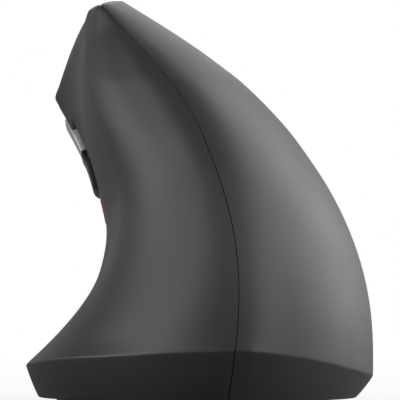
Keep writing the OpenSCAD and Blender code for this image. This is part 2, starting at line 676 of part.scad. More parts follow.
module bay_walls() {
    difference() {
        block([cell_x - bay_half - bay_wall, bay_back - bay_wall, floor_z - 0.1],
            [cell_x + bay_half + bay_wall, bay_front + bay_wall, bay_top]);
        block([cell_x - bay_half, bay_back, 0], [cell_x + bay_half, bay_front, bay_top + 1]);
    }
}
module receiver_room(grow, low, high) {
    block([receiver_at.x - receiver.x / 2 - grow, receiver_at.y - grow, low],
        [receiver_at.x + receiver.x / 2 + grow, receiver_at.y + receiver.y + grow, high]);
}
module door_room(grow, top) {
    block([cell_x - door_half - grow, door_back - grow, -1],
        [cell_x + door_half + grow, door_pin + door_t / 2 + grow, top]);
}
module power_slot(low, high) {
    half = [knob.x / 2 + slot_play.x, knob.y / 2 + power_travel / 2 + slot_play.y];
    block([power_at.x - half.x, power_at.y - half.y, low], [power_at.x + half.x, power_at.y + half.y, high]);
}
module round_hole(at, d, high) {
    translate([at.x, at.y, -1]) cylinder(d = d, h = high + 1, $fn = 48);
}
module base_plate() {
    color("#1d1e20") difference() {
        union() {
            translate([0, 0, ride_h]) linear_extrude(plate_t)
                polygon([for (i = [0:59]) sole_at(i / 12, edge)]);
            bay_walls();
            receiver_room(receiver_fit + bay_wall, floor_z - 0.1, receiver_top + bay_wall);
            for (p = case_screw_at) translate([p.x, p.y, floor_z - 0.1])
                cylinder(d = foot_pad_d, h = foot_pad + 0.1, $fn = 48);
            for (p = main_posts) translate([p.x, p.y, floor_z - 0.1])
                cylinder(d = post_d, h = board_z - floor_z + 0.1, $fn = 32);
        }
        // opening of the battery door, with the holes of its pins
        door_room(door_fit, ride_h + door_t + 0.25);
        block([cell_x - bay_half, bay_back, -1], [cell_x + bay_half, bay_front - 0.8, floor_z + 1]);
        translate([cell_x - door_half - hinge_pin.x - 0.3, door_pin, door_z]) rotate([0, 90, 0])
            cylinder(d = hinge_pin.y + 2 * axle_fit, h = 2 * (door_half + hinge_pin.x + 0.3), $fn = 32);
        round_hole([cell_x, door_back - 1.4], nail_notch, ride_h + 0.6);
        // receiver pocket with a finger notch
        receiver_room(receiver_fit, -1, receiver_top);
        round_hole([receiver_at.x, receiver_at.y + receiver.y], nail_notch, ride_h + 1.3);
        round_hole(sensor_at, lens_d + 0.5, floor_z + 1);
        power_slot(-1, floor_z + 1);
        for (p = case_screw_at) {
            round_hole(p, screw_d + screw_play, floor_z + foot_pad + 1);
            round_hole(p, head_d + screw_play, ride_h + head_h + 2 * head_deep);
        }
        for (s = foot_spans) foot_shape(s, foot_fit, ride_h - 1, foot_t);
    }
}

// Glide feet follow the edge of the sole and keep clear of the battery door
foot_spans = [[1.42, 1.98], [2.68, 2.97], [0.22, 0.62], [4.36, 4.67]];
foot_inset = edge + 1.2;
foot_fit = 0.15;
door_clear = 0.5;
module foot_shape(span, grow, low, high) {
    n = 10;
    reach = grow / 40;
    us = [for (i = [0:n]) span[0] - reach + (span[1] - span[0] + 2 * reach) * i / n];
    outer = [for (u = us) sole_at(u, foot_inset - grow)];
    inner = [for (i = [n:-1:0]) sole_at(us[i], foot_inset + foot_w + grow)];
    difference() {
        translate([0, 0, low]) linear_extrude(high - low) polygon(concat(outer, inner));
        door_room(door_clear - grow, high + 1);
    }
}
module foot_left() {
    color("#77797b") foot_shape(foot_spans[0], 0, 0, foot_t);
}
module foot_front() {
    color("#77797b") foot_shape(foot_spans[1], 0, 0, foot_t);
}
module foot_rear() {
    color("#77797b") foot_shape(foot_spans[2], 0, 0, foot_t);
}
module foot_right() {
    color("#77797b") foot_shape(foot_spans[3], 0, 0, foot_t);
}

grip_lines = 4;
grip_pitch = 1.6;
module battery_door() {
    color("#222326") difference() {
        union() {
            block([cell_x - door_half, door_back, ride_h], [cell_x + door_half, door_pin, ride_h + door_t]);
            translate([cell_x - door_half, door_pin, door_z]) rotate([0, 90, 0])
                cylinder(d = door_t, h = 2 * door_half, $fn = 48);
            translate([cell_x - door_half - hinge_pin.x, door_pin, door_z]) rotate([0, 90, 0])
                cylinder(d = hinge_pin.y, h = 2 * (door_half + hinge_pin.x), $fn = 32);
        }
        for (k = [0:grip_lines - 1]) translate([cell_x, door_back + 3 + grip_pitch * k, 0])
            block([-5, 0, -1], [5, 0.7, ride_h + 0.35]);
    }
}
module battery_cell() {
    color("#c9a227") translate([cell_x, cell_back, cell_z]) rotate([-90, 0, 0]) {
        cylinder(d = cell_d, h = cell_len - 1, $fn = 72);
        cylinder(d = 5.5, h = cell_len, $fn = 48);
    }
}
module battery_spring() {
    color("#c4c7ca") translate([cell_x, cell_back - spring_len, cell_z]) rotate([-90, 0, 0])
        coil(4.2, 2.4, 0.7, 3, spring_len - 0.1);
}
module battery_plates() {
    color("#c4c7ca") for (y = [bay_back, cell_front + contact_play])
        translate([cell_x, y, cell_z])
            block([-contact_half, 0, -contact_half], [contact_half, contact_t, contact_half]);
}

module usb_receiver() {
    shell = 0.4;
    grip_len = 7;
    plug_z = 0.8;
    color("#2b2c2e") translate([receiver_at.x, receiver_at.y, ride_h + 0.2]) {
        block([-receiver.x / 2, 0, 0], [receiver.x / 2, grip_len, receiver.z]);
        difference() {
            block([-receiver_plug.x / 2, grip_len - 0.1, plug_z],
                [receiver_plug.x / 2, receiver.y, plug_z + receiver_plug.y]);
            block([shell - receiver_plug.x / 2, grip_len + 1, plug_z + receiver_plug.y / 2],
                [receiver_plug.x / 2 - shell, receiver.y + 1, plug_z + receiver_plug.y - shell]);
        }
    }
}

// Main board with the motion sensor over its window
module main_board() {
    color("#1f4d35") difference() {
        block([main_low.x, main_low.y, board_z], [main_high.x, main_high.y, board_z + board_t]);
        round_hole(sensor_at, lens_d - 1, board_z + board_t + 1);
    }
}
module sensor_chip() {
    color("#161618") translate([sensor_at.x, sensor_at.y, board_z + board_t])
        block([-5, -7.5, 0], [5, 7.5, 2.6]);
}
module sensor_lens() {
    lens_low = ride_h + 0.7;
    color("#cfd6da") translate([sensor_at.x, sensor_at.y, 0]) difference() {
        union() {
            translate([0, 0, lens_low]) cylinder(d = lens_d, h = board_z - lens_low, $fn = 48);
            block([-6, -8, floor_z], [6, 8, board_z]);
        }
        translate([0, 0, ride_h]) cylinder(d = 3, h = 2.2, $fn = 32);
    }
}
chip_at = [main_low.x + 2.5, main_low.y + 9];
module controller_chip() {
    color("#161618") translate([chip_at.x, chip_at.y, board_z + board_t]) cube([6, 6, 1]);
}

module power_switch() {
    half = power_case / 2;
    color("#6d7074") difference() {
        block([power_at.x - half.x, power_at.y - half.y, floor_z],
            [power_at.x + half.x, power_at.y + half.y, floor_z + power_case.z]);
        power_slot(0, floor_z + 2.2);
    }
}
module power_slider() {
    color("#d0d2d4") translate([power_at.x, power_at.y - power_travel / 2, 0])
        block([-knob.x / 2, -knob.y / 2, ride_h - 0.2], [knob.x / 2, knob.y / 2, floor_z + 1.9]);
}

// Ribs from the base plate up to the key board, joined by the beam behind the thumb board
rib_foot = [-10, 5.2];
rib_back = -13;
rib_top = 70;
rib_shoulder = 40;
knee_rise = 13;
rib_holes = [[-4, 22, 7], [-3, 12, 6]];
beam = [-13.5, 27, -6, -2.5, 3];
boss_h = 7;
module rib(y, right, knee) {
    foot_z = floor_z + foot_pad;
    difference() {
        translate([0, y + rib_t / 2, 0]) rotate([90, 0, 0]) linear_extrude(rib_t) polygon([
            [rib_foot[0], foot_z], [rib_foot[1], foot_z], [rib_foot[1], knee], [right, knee + knee_rise],
            [right, rib_top], [rib_back, rib_top], [rib_back, rib_shoulder]
        ]);
        for (h = rib_holes) translate([h[0], y - rib_t, h[1]]) rotate([-90, 0, 0])
            cylinder(d = h[2], h = 2 * rib_t, $fn = 48);
    }
}
module core_frame() {
    color("#303235") difference() {
        union() {
            rib(rib_y[0], 17, 22);
            rib(rib_y[1], 9, 16);
            for (p = case_screw_at) translate([p.x, p.y, floor_z + foot_pad])
                cylinder(d = foot_pad_d - 0.6, h = boss_h, $fn = 48);
            stand_on(thumb_frame) block([beam[0], beam[2], thumb_board_back - beam[4]],
                [beam[1], beam[3], thumb_board_back]);
        }
        above_board(board_low);
        stand_on(thumb_frame) block([-thumb_board_half, thumb_board_low, thumb_board_back],
            [thumb_board_half, thumb_board_high, far]);
        for (p = case_screw_at) translate([p.x, p.y, 0])
            cylinder(d = screw_d, h = floor_z + foot_pad + boss_h - 2, $fn = 32);
        stand_on(wheel_frame) for (p = frame_screws) translate([p.x, p.y, board_low - board_screw_grip - 0.2])
            cylinder(d = screw_d, h = board_screw_grip + 1, $fn = 32);
    }
}
module case_screws() {
    color("#8d9094") for (p = case_screw_at) translate([p.x, p.y, ride_h + head_deep]) {
        cylinder(d = head_d, h = head_h, $fn = 32);
        translate([0, 0, 0.1]) cylinder(d = screw_d, h = plate_t + foot_pad + boss_h - 3, $fn = 32);
    }
}

thumb_shell();
palm_shell();
index_key();
middle_key();
wheel_bezel();
index_switch();
middle_switch();
index_plunger();
middle_plunger();
wheel_tyre();
wheel_hub();
wheel_cradle();
wheel_encoder();
wheel_spring();
wheel_switch();
dpi_button();
dpi_switch();
key_board();
board_screws();
forward_button();
back_button();
light_strip();
forward_switch();
back_switch();
status_led();
thumb_board();
base_plate();
foot_left();
foot_front();
foot_rear();
foot_right();
battery_door();
battery_cell();
battery_spring();
battery_plates();
usb_receiver();
main_board();
sensor_chip();
sensor_lens();
controller_chip();
power_switch();
power_slider();
core_frame();
case_screws();
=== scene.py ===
"""Dresses the vertical mouse: smooth skins, rubber, lacquer and metal finishes, and a plain studio."""

import json
import math

import bpy
from bpy.props import FloatProperty, FloatVectorProperty, IntProperty, PointerProperty
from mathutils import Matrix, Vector
from mathutils.kdtree import KDTree

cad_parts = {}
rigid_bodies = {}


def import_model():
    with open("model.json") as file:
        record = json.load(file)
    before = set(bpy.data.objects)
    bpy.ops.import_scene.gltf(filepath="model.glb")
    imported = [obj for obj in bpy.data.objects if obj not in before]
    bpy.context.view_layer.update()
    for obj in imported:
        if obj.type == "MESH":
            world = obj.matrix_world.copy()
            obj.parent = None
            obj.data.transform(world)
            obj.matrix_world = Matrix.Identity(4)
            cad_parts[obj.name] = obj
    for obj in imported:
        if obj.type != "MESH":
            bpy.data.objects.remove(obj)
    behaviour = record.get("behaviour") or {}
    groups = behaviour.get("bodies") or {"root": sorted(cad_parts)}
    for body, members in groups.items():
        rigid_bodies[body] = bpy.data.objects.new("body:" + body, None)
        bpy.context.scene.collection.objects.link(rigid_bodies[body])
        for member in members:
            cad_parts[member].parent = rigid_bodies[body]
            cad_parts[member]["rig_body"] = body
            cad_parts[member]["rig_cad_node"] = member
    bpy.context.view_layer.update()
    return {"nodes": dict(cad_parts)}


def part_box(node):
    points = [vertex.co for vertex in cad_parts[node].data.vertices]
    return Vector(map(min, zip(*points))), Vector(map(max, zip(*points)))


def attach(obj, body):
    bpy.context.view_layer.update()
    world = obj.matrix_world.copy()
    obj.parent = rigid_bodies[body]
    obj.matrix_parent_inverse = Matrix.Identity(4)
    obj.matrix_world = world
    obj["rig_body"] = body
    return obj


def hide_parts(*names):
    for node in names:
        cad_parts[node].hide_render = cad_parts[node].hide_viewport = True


bl_info = {
    "name": "Vertical mouse",
    "version": (1, 0, 0),
    "blender": (4, 5, 0),
    "location": "View3D > Sidebar > Mouse",
    "description": "Finishes of a right-hand vertical mouse",
    "category": "Object",
}

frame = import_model()
NODES = frame["nodes"]
MM = 0.001


def linear(code):
    """An sRGB hex value as a linear colour."""
    parts = [int(code[i : i + 2], 16) / 255 for i in (1, 3, 5)]
    return [c / 12.92 if c <= 0.04045 else ((c + 0.055) / 1.055) ** 2.4 for c in parts]


def colour(name, description, code):
    """A colour setting with an sRGB hex default."""
    return FloatVectorProperty(
        name=name, description=description, subtype="COLOR", size=3, min=0, max=1, default=linear(code)
    )


def length(name, description, millimetres):
    """A length setting with a default in millimetres."""
    return FloatProperty(
        name=name, description=description, subtype="DISTANCE", unit="LENGTH", min=0,
        default=millimetres * MM,
    )


class MouseSizes(bpy.types.PropertyGroup):
    skin_edge: length("Skin edge", "Width of the rounded edges of the outer mouldings", 0.32)
    button_edge: length("Button edge", "Width of the rounded edges of the thumb buttons", 0.16)
    part_edge: length("Part edge", "Width of the rounded edges of small parts", 0.12)
    seam_edge: length("Seam edge", "Width of the rounded edges along the seam", 0.09)
    seam_reach: length("Seam reach", "Borders closer than this face each other across the seam", 0.3)
    weld: length("Weld", "Corners closer than this are one corner", 0.02)
    grain: length("Grain", "Width of the grains of the soft lacquer", 0.28)
    spark: length("Spark texture", "Width of the pits of the spark eroded base", 0.35)
    smoothness: IntProperty(
        name="Smoothness", description="Subdivision steps of the skins", min=1, max=3, default=2
    )


class MouseColours(bpy.types.PropertyGroup):
    thumb_skin: colour("Thumb skin", "Soft lacquer on the thumb shell", "#313131")
    palm_skin: colour("Palm skin", "Soft lacquer on the palm shell", "#313131")
    keys: colour("Keys", "Moulded main keys", "#2d2d2e")
    bezel: colour("Strip", "Glossy strip round the wheel", "#131416")
    silver: colour("Silver", "Lacquer of the forward button", "#d2d4d6")
    graphite: colour("Graphite", "Lacquer of the back button and the speed button", "#4a4b4e")
    light: colour("Light strip", "Clear red plastic", "#d0103c")
    tyre: colour("Tyre", "Rubber of the wheel", "#1d1e20")
    base: colour("Base", "Moulded underside", "#1b1c1e")
    glide: colour("Glide feet", "Low-friction pads", "#8b8d8f")
    floor: colour("Floor", "Table and backdrop", "#f4f4f3")
    bounce: colour("Bounce", "Shade of the table that lights the mouse from below", "#6c6c6c")


# Places and tools

def settings():
    scene = bpy.context.scene
    return scene.mouse_sizes, scene.mouse_colours


def only(obj):
    """Makes obj the one selected and active object."""
    bpy.ops.object.select_all(action="DESELECT")
    obj.select_set(True)
    bpy.context.view_layer.objects.active = obj


def edit(obj, *steps):
    """Runs edit mode steps on the whole mesh of obj."""
    only(obj)
    bpy.ops.object.mode_set(mode="EDIT")
    bpy.ops.mesh.select_all(action="SELECT")
    for step, options in steps:
        step(**options)
    bpy.ops.object.mode_set(mode="OBJECT")


def apply_modifier(obj, kind, **options):
    """Adds a modifier of this kind with its options to obj, and applies it."""
    only(obj)
    modifier = obj.modifiers.new(kind.title(), kind)
    for name, value in options.items():
        setattr(modifier, name, value)
    bpy.ops.object.modifier_apply(modifier=modifier.name)


def smooth_by(obj, angle):
    """Smooths the edges of obj that turn by less than this angle."""
    only(obj)
    bpy.ops.object.shade_smooth_by_angle(angle=angle)


def body_of(node):
    return NODES[node]["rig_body"]


def paint(obj, material):
    """Puts the material on the whole of obj."""
    if not obj.material_slots:
        obj.data.materials.append(material)
    for place in obj.material_slots:
        place.material = material


def settle(piece, nodes, material):
    """Gives a finished piece its material and body, and hides the nodes that it stands for."""
    paint(piece, material)
    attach(piece, body_of(nodes[0]))
    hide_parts(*nodes)


def copy_of(node, name):
    """A free copy of a moulded part, with its corners merged."""
    sizes, _ = settings()
    only(NODES[node])
    bpy.ops.object.duplicate()
    piece = bpy.context.active_object
    bpy.ops.object.parent_clear(type="CLEAR_KEEP_TRANSFORM")
    piece.name = name
    piece.data.name = name
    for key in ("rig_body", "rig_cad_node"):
        del piece[key]
    edit(piece, (bpy.ops.mesh.remove_doubles, {"threshold": sizes.weld}))
    return piece


def corner_angle(mesh, before, here, after):
    """The angle of a face's corner at the vertex here."""
    place = [mesh.vertices[index].co for index in (before, here, after)]
    return (place[0] - place[1]).angle(place[2] - place[1], 0)


def in_skirt(mesh, key):
    """Whether an edge lies at the height of the crease over the flange."""
    return all(SKIRT_LOW < mesh.vertices[index].co.z < SKIRT_HIGH for index in key)


def sharp_edges(mesh):
    """The sharp edges of a mesh, and those of them that meet in a corner too narrow to round."""
    sides = {}
    for face in mesh.polygons:
        for key in face.edge_keys:
            sides.setdefault(key, []).append(face.normal)
    sharp = set()
    for key, pair in sides.items():
        limit = SKIRT_ANGLE if in_skirt(mesh, key) else SHARP_ANGLE
        if len(pair) == 2 and pair[0].angle(pair[1], 0) > limit:
            sharp.add(key)
    tight = set()
    for face in mesh.polygons:
        ring = list(face.vertices)
        for before, here, after in zip(ring[-1:] + ring[:-1], ring, ring[1:] + ring[:1]):
            pair = {tuple(sorted((before, here))), tuple(sorted((here, after)))}
            if pair <= sharp and corner_angle(mesh, before, here, after) < NARROW_ANGLE:
                tight |= pair
    return sharp - tight, tight


def weigh(obj, keys, step, share=1):
    """Gives the named edges of obj this share of bevel weight or crease."""
    only(obj)
    bpy.ops.object.mode_set(mode="EDIT")
    bpy.ops.mesh.select_mode(type="EDGE")
    bpy.ops.mesh.select_all(action="DESELECT")
    bpy.ops.object.mode_set(mode="OBJECT")
    for edge in obj.data.edges:
        edge.select = edge.key in keys
    bpy.ops.object.mode_set(mode="EDIT")
    step(value=share)
    bpy.ops.mesh.select_mode(type="VERT")
    bpy.ops.object.mode_set(mode="OBJECT")


def close_seam(piece, mate):
    """Draws the border of piece towards its mate's, so that the seam is a hairline; returns its vertices."""
    sizes, _ = settings()
    border = mate.data.vertices
    tree = KDTree(len(border))
    for vertex in border:
        tree.insert(vertex.co, vertex.index)
    tree.balance()
    faced = set()
    for vertex in piece.data.vertices:
        place, _, far = tree.find(vertex.co)
        if far < sizes.seam_reach:
            vertex.co = vertex.co.lerp(place, SEAM_SHARE)
            faced.add(vertex.index)
    return faced


def lift_crease(piece):
    """Raises the crease over the flange where the skin faces the wrist."""
    crease = set().union(*(key for key in sharp_edges(piece.data)[0] if in_skirt(piece.data, key)))
    for vertex in piece.data.vertices:
        if vertex.index in crease:
            vertex.co.z += CREASE_LIFT * min(1, max(0, -CREASE_TURN * vertex.normal.y))


def pull(obj, place, way, reach):
    """Draws the skin of obj round a place along way, less and less out to reach."""
    ends = []
    for spot in (Vector(place), Vector(place) + Vector(way)):
        bpy.ops.object.empty_add(location=spot * MM)
        ends.append(bpy.context.active_object)
    apply_modifier(
        obj, "WARP", object_from=ends[0], object_to=ends[1], falloff_type="SMOOTH",
        falloff_radius=reach * MM,
    )
    for end in ends:
        bpy.data.objects.remove(end)


def choose(obj, test):
    """Selects the faces of obj that pass a test, and stays in edit mode."""
    only(obj)
    bpy.ops.object.mode_set(mode="EDIT")
    bpy.ops.mesh.select_mode(type="FACE")
    bpy.ops.mesh.select_all(action="DESELECT")
    bpy.ops.object.mode_set(mode="OBJECT")
    for face in obj.data.polygons:
        face.select = test(face)
    bpy.ops.object.mode_set(mode="EDIT")


def raise_plate(piece, lip):
    """Raises the face of a thumb button into a plate whose upper lip runs out over the shell."""
    outward = [face for face in piece.data.polygons if face.normal.dot(THUMB_OUT) > PLATE_FACING]
    front = max(face.center.dot(THUMB_OUT) for face in outward)
    faces = {face.index for face in outward if face.center.dot(THUMB_OUT) > front - PLATE_BOW}
    choose(piece, lambda face: face.index in faces)
    for height in (PLATE_FOOT, PLATE_THICK):
        bpy.ops.mesh.extrude_region_move(TRANSFORM_OT_translate={"value": height * THUMB_OUT})
    bpy.ops.object.mode_set(mode="OBJECT")
    top = {index for face in piece.data.polygons if face.select for index in face.vertices}
    faces = {face.index for face in piece.data.polygons if not face.select}
    choose(piece, lambda face: face.index in faces and face.normal.dot(THUMB_UP) > LIP_FACING
           and len(top.intersection(face.vertices)) == 2)
    bpy.ops.mesh.extrude_region_move(TRANSFORM_OT_translate={"value": lip * MM * THUMB_UP})
    bpy.ops.mesh.select_mode(type="VERT")
    bpy.ops.object.mode_set(mode="OBJECT")


def skin_copy(node, name, material, edge, mate=None, pulls=(), lip=0):
    """A moulded skin: its facets become quads, its edges are rounded and its faces flow smoothly.
    A mate is the shell across the seam, and a lip in millimetres makes it a thumb button."""
    sizes, _ = settings()
    piece = copy_of(node, name)
    limits = {"face_threshold": math.radians(50), "shape_threshold": math.radians(60)}
    edit(piece, (bpy.ops.mesh.tris_convert_to_quads, limits))
    faced = close_seam(piece, NODES[mate]) if mate else set()
    if lip:
        raise_plate(piece, lip)
    if mate:
        lift_crease(piece)
    rounded, tight = sharp_edges(piece.data)
    seam = {key for key in rounded if faced.issuperset(key)}
    weigh(piece, rounded - seam, bpy.ops.transform.edge_bevelweight)
    weigh(piece, seam, bpy.ops.transform.edge_bevelweight, sizes.seam_edge / edge)
    weigh(piece, tight, bpy.ops.transform.edge_crease)
    apply_modifier(
        piece, "BEVEL", width=edge, segments=2, limit_method="WEIGHT", use_clamp_overlap=False,
        miter_outer="MITER_ARC",
    )
    apply_modifier(piece, "SUBSURF", levels=sizes.smoothness, render_levels=sizes.smoothness)
    for place, way, reach in pulls:
        pull(piece, place, way, reach)
    smooth_by(piece, SMOOTH_ANGLE)
    settle(piece, [node], material)


def part_copy(node, name, material, edge=None, whole=True):
    """A small moulded or turned part with its edges taken off. Its flat sides
    are joined to whole faces, unless openings in one of them forbid that."""
    sizes, _ = settings()
    piece = copy_of(node, name)
    if whole:
        edit(piece, (bpy.ops.mesh.dissolve_limited, {"angle_limit": math.radians(0.4)}))
    apply_modifier(
        piece, "BEVEL", width=edge or sizes.part_edge, segments=2, limit_method="ANGLE",
        angle_limit=SHARP_ANGLE, use_clamp_overlap=False, miter_outer="MITER_ARC",
    )
    smooth_by(piece, SHARP_ANGLE)
    apply_modifier(piece, "WEIGHTED_NORMAL", weight=100, keep_sharp=True)
    settle(piece, [node], material)


# Materials

# Noise stays mostly between these levels, which a Map Range node then spreads out
MIDDLE = {"From Min": 0.35, "From Max": 0.65}


def add(tree, kind, inputs=None, **options):
    """Adds a node, sets its options, and fills its inputs with values or links.
    A node given as an input stands for its first output in use."""
    node = tree.nodes.new(kind)
    for name, value in options.items():
        setattr(node, name, value)
    for name, value in (inputs or {}).items():
        if isinstance(value, bpy.types.Node):
            value = next(output for output in value.outputs if output.enabled)
        if isinstance(value, bpy.types.NodeSocket):
            tree.links.new(value, node.inputs[name])
        else:
            node.inputs[name].default_value = value
    return node


def blank(name):
    """A new material without nodes, its tree, and the object coordinates for its patterns."""
    material = bpy.data.materials.new(name)
    material.use_nodes = True
    tree = material.node_tree
    tree.nodes.clear()
    return material, tree, add(tree, "ShaderNodeTexCoord").outputs["Object"]


def every(size):
    """Texture scale that gives one feature in this many metres."""
    return 1 / size


def shade(tone, share):
    """A tone made darker or lighter by this share, with its alpha."""
    return [min(1, c * share) for c in tone] + [1]


def soft_touch_lacquer(name, tone):
    """ABS with soft-touch lacquer: fine even grain, and a faint haze where hands rub it.
    Real grain is too fine to show and is drawn at the width of the Grain setting."""
    sizes, _ = settings()
    material, tree, place = blank(name)
    haze = add(tree, "ShaderNodeTexNoise", {"Vector": place, "Scale": every(22 * MM), "Detail": 3})
    grain = add(
        tree, "ShaderNodeTexNoise",
        {"Vector": place, "Scale": every(sizes.grain), "Detail": 3, "Roughness": 0.6},
    )
    fleck = add(tree, "ShaderNodeTexNoise", {"Vector": place, "Scale": every(sizes.grain * 2.5), "Detail": 1})
    share = add(tree, "ShaderNodeMapRange", {"Value": grain, **MIDDLE})
    base = add(
        tree, "ShaderNodeMix", {"Factor": share, "A": shade(tone, 0.86), "B": shade(tone, 1.12)},
        data_type="RGBA",
    )
    gloss = add(tree, "ShaderNodeMapRange", {"Value": haze, **MIDDLE, "To Min": 0.42, "To Max": 0.48})
    fine = add(tree, "ShaderNodeBump", {"Height": grain, "Distance": 0.006 * MM})
    relief = add(tree, "ShaderNodeBump", {"Height": fleck, "Distance": 0.004 * MM, "Normal": fine})
    shader = add(
        tree, "ShaderNodeBsdfPrincipled",
        {
            "Base Color": base, "Roughness": gloss, "IOR": 1.5, "Sheen Weight": 0.06, "Sheen Roughness": 0.5,
            "Normal": relief,
        },
    )
    add(tree, "ShaderNodeOutputMaterial", {"Surface": shader})
    return material


def moulded_abs(name, tone, roughness=0.5, pit=0.35, depth=0.006):
    """ABS moulded in a spark eroded tool: small pits, given in millimetres, that break up the gloss.
    They are drawn wider than real ones, which are too fine to show."""
    material, tree, place = blank(name)
    pits = add(tree, "ShaderNodeTexVoronoi", {"Vector": place, "Scale": every(pit * MM)})
    flow = add(tree, "ShaderNodeTexNoise", {"Vector": place, "Scale": every(9 * MM), "Detail": 3})
    share = add(tree, "ShaderNodeMapRange", {"Value": flow, **MIDDLE})
    base = add(
        tree, "ShaderNodeMix", {"Factor": share, "A": shade(tone, 0.9), "B": shade(tone, 1.1)},
        data_type="RGBA",
    )
    gloss = add(
        tree, "ShaderNodeMapRange",
        {"Value": flow, **MIDDLE, "To Min": roughness - 0.05, "To Max": roughness + 0.06},
    )
    relief = add(tree, "ShaderNodeBump", {"Height": pits, "Distance": depth * MM})
    shader = add(
        tree, "ShaderNodeBsdfPrincipled",
        {"Base Color": base, "Roughness": gloss, "Normal": relief, "IOR": 1.53},
    )
    add(tree, "ShaderNodeOutputMaterial", {"Surface": shader})
    return material


def glossy_abs(name, tone):
    """Polished ABS: a clear reflection with faint sink marks and dust-fine scuffs."""
    material, tree, place = blank(name)
    sink = add(tree, "ShaderNodeTexNoise", {"Vector": place, "Scale": every(14 * MM), "Detail": 1})
    scuff = add(
        tree, "ShaderNodeTexNoise",
        {"Vector": place, "Scale": every(0.9 * MM), "Detail": 4, "Roughness": 0.7},
    )
    base = add(
        tree, "ShaderNodeMix", {"Factor": sink, "A": shade(tone, 0.9), "B": shade(tone, 1.1)},
        data_type="RGBA",
    )
    gloss = add(tree, "ShaderNodeMapRange", {"Value": scuff, **MIDDLE, "To Min": 0.1, "To Max": 0.2})
    relief = add(tree, "ShaderNodeBump", {"Height": sink, "Distance": 0.02 * MM})
    shader = add(
        tree, "ShaderNodeBsdfPrincipled",
        {
            "Base Color": base, "Roughness": gloss, "IOR": 1.53, "Coat Weight": 0.3, "Coat Roughness": 0.06,
            "Normal": relief,
        },
    )
    add(tree, "ShaderNodeOutputMaterial", {"Surface": shader})
    return material


def satin_lacquer(name, tone, metal):
    """Metallic lacquer on ABS: fine flakes under a satin clear coat.
    Real flakes are a few hundredths of a millimetre wide; they are drawn as wide as it takes to show."""
    material, tree, place = blank(name)
    flake = add(
        tree, "ShaderNodeTexNoise",
        {"Vector": place, "Scale": every(0.16 * MM), "Detail": 2, "Roughness": 0.8},
    )
    cloud = add(tree, "ShaderNodeTexNoise", {"Vector": place, "Scale": every(5 * MM)})
    share = add(tree, "ShaderNodeMapRange", {"Value": flake, **MIDDLE})
    base = add(
        tree, "ShaderNodeMix", {"Factor": share, "A": shade(tone, 0.84), "B": shade(tone, 1.1)},
        data_type="RGBA",
    )
    gloss = add(tree, "ShaderNodeMapRange", {"Value": cloud, **MIDDLE, "To Min": 0.3, "To Max": 0.38})
    relief = add(tree, "ShaderNodeBump", {"Height": flake, "Distance": 0.002 * MM})
    shader = add(
        tree, "ShaderNodeBsdfPrincipled",
        {
            "Base Color": base, "Metallic": metal, "Roughness": gloss, "Coat Weight": 0.25,
            "Coat Roughness": 0.28, "Normal": relief,
        },
    )
    add(tree, "ShaderNodeOutputMaterial", {"Surface": shader})
    return material


def clear_red_plastic(name, tone):
    """Tinted polycarbonate light guide: deep colour, a little uneven where it is frosted."""
    material, tree, place = blank(name)
    frost = add(tree, "ShaderNodeTexNoise", {"Vector": place, "Scale": every(1.6 * MM), "Detail": 3})
    base = add(
        tree, "ShaderNodeMix", {"Factor": frost, "A": shade(tone, 0.8), "B": shade(tone, 1.15)},
        data_type="RGBA",
    )
    relief = add(tree, "ShaderNodeBump", {"Height": frost, "Distance": 0.008 * MM})
    shader = add(
        tree, "ShaderNodeBsdfPrincipled",
        {
            "Base Color": base, "Roughness": 0.22, "IOR": 1.58, "Transmission Weight": 0.25,
            "Subsurface Weight": 0.2, "Coat Weight": 0.4, "Coat Roughness": 0.1,
            "Emission Color": shade(tone, 1), "Emission Strength": 0.08, "Normal": relief,
        },
    )
    add(tree, "ShaderNodeOutputMaterial", {"Surface": shader})
    return material


def vulcanised_rubber(name, tone):
    """Moulded rubber: matt, slightly dusty, with a fine pebble."""
    material, tree, place = blank(name)
    dust = add(
        tree, "ShaderNodeTexNoise",
        {"Vector": place, "Scale": every(2.5 * MM), "Detail": 4, "Roughness": 0.6},
    )
    pebble = add(tree, "ShaderNodeTexNoise", {"Vector": place, "Scale": every(0.22 * MM)})
    share = add(tree, "ShaderNodeMapRange", {"Value": dust, **MIDDLE})
    base = add(
        tree, "ShaderNodeMix", {"Factor": share, "A": shade(tone, 0.85), "B": shade(tone, 1.3)},
        data_type="RGBA",
    )
    gloss = add(tree, "ShaderNodeMapRange", {"Value": dust, **MIDDLE, "To Min": 0.68, "To Max": 0.82})
    relief = add(tree, "ShaderNodeBump", {"Height": pebble, "Distance": 0.012 * MM})
    shader = add(
        tree, "ShaderNodeBsdfPrincipled",
        {"Base Color": base, "Roughness": gloss, "Normal": relief, "IOR": 1.52},
    )
    add(tree, "ShaderNodeOutputMaterial", {"Surface": shader})
    return material


def ptfe_pad(name, tone):
    """Skived PTFE: waxy, with fine parallel drag lines from sliding."""
    material, tree, place = blank(name)
    lines = add(
        tree, "ShaderNodeTexWave",
        {"Vector": place, "Scale": every(9 * MM), "Distortion": 6, "Detail": 3},
        bands_direction="X",
    ).outputs["Fac"]
    wax = add(tree, "ShaderNodeTexNoise", {"Vector": place, "Scale": every(3 * MM)})
    base = add(
        tree, "ShaderNodeMix", {"Factor": wax, "A": shade(tone, 0.92), "B": shade(tone, 1.08)},
        data_type="RGBA",
    )
    gloss = add(tree, "ShaderNodeMapRange", {"Value": lines, "To Min": 0.32, "To Max": 0.44})
    relief = add(tree, "ShaderNodeBump", {"Height": lines, "Distance": 0.003 * MM})
    shader = add(
        tree, "ShaderNodeBsdfPrincipled",
        {"Base Color": base, "Roughness": gloss, "Normal": relief, "IOR": 1.38, "Subsurface Weight": 0.05},
    )
    add(tree, "ShaderNodeOutputMaterial", {"Surface": shader})
    return material


